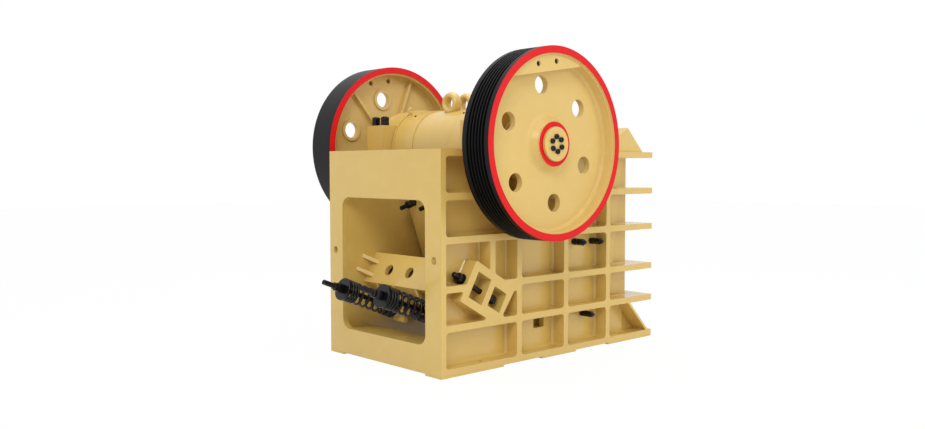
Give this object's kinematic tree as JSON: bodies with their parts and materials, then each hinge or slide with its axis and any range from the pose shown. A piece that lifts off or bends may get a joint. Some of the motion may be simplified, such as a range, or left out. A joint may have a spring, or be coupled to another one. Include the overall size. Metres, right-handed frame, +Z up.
{
  "type": "single-toggle jaw crusher",
  "caption": "Jaw crusher with a ribbed box frame, twin heavy wheels on an eccentric shaft, a swinging jaw and a sprung toggle at the back.",
  "frame": {"origin": "centre of the four corner foundation holes, on the plane that the feet stand on", "axes": "+X towards the feed end with the fixed jaw, +Z up, -Y towards the wheel with the belt grooves"},
  "size_m": [2.792, 2.104, 2.329],
  "materials": {
    "yellow_paint": "gloss",
    "wheel_iron": "gloss",
    "manganese_steel": "matte",
    "black_steel": "satin",
    "spring_steel": "satin"
  },
  "bodies": {
    "frame": {"cap_studs": "black_steel", "feed_lip": "yellow_paint", "fixed_jaw_plate": "manganese_steel", "flywheel_side_adjusting_bolt": "black_steel", "flywheel_side_bearing_cap": "yellow_paint", "flywheel_side_bearing_cover": "yellow_paint", "flywheel_side_bearing_seat": "yellow_paint", "flywheel_side_cheek_plate": "manganese_steel", "flywheel_side_cheek_studs": "black_steel", "flywheel_side_rod_nut": "black_steel", "flywheel_side_tension_rod": "black_steel", "flywheel_side_tension_spring": "spring_steel", "flywheel_side_wall": "yellow_paint", "foot_pads": "yellow_paint", "front_wall": "yellow_paint", "rear_tie": "yellow_paint", "rear_wall": "yellow_paint", "sheave_side_adjusting_bolt": "black_steel", "sheave_side_bearing_cap": "yellow_paint", "sheave_side_bearing_cover": "yellow_paint", "sheave_side_bearing_seat": "yellow_paint", "sheave_side_cheek_plate": "manganese_steel", "sheave_side_cheek_studs": "black_steel", "sheave_side_rod_nut": "black_steel", "sheave_side_tension_rod": "black_steel", "sheave_side_tension_spring": "spring_steel", "sheave_side_wall": "yellow_paint", "spring_brackets": "yellow_paint", "toggle_beam": "yellow_paint", "toggle_plate": "manganese_steel", "toggle_seat": "yellow_paint"},
    "rotor": {"eccentric_shaft": "yellow_paint", "belt_sheave": "wheel_iron", "flywheel": "wheel_iron", "sheave_hub_cover": "yellow_paint", "flywheel_hub_cover": "yellow_paint", "hub_bolts": "black_steel"},
    "moving_jaw": {"pitman": "yellow_paint", "lifting_eyes": "yellow_paint", "moving_jaw_plate": "manganese_steel", "moving_toggle_seat": "yellow_paint", "jaw_bolts": "black_steel", "pitman_covers": "yellow_paint", "rod_pins": "black_steel"}
  },
  "joints": [
    {"name": "shaft_spin", "type": "hinge", "parent": "frame", "child": "rotor", "pos_m": [-0.465, 0, 1.635], "axis": [0, 1, 0], "continuous": true},
    {"name": "jaw_orbit", "type": "hinge", "parent": "rotor", "child": "moving_jaw", "pos_m": [-0.46306, 0, 1.62316], "axis": [0, 1, 0], "continuous": true}
  ],
  "couplings": [
    {"joint": "jaw_orbit", "follows": "shaft_spin", "ratio": -1}
  ]
}
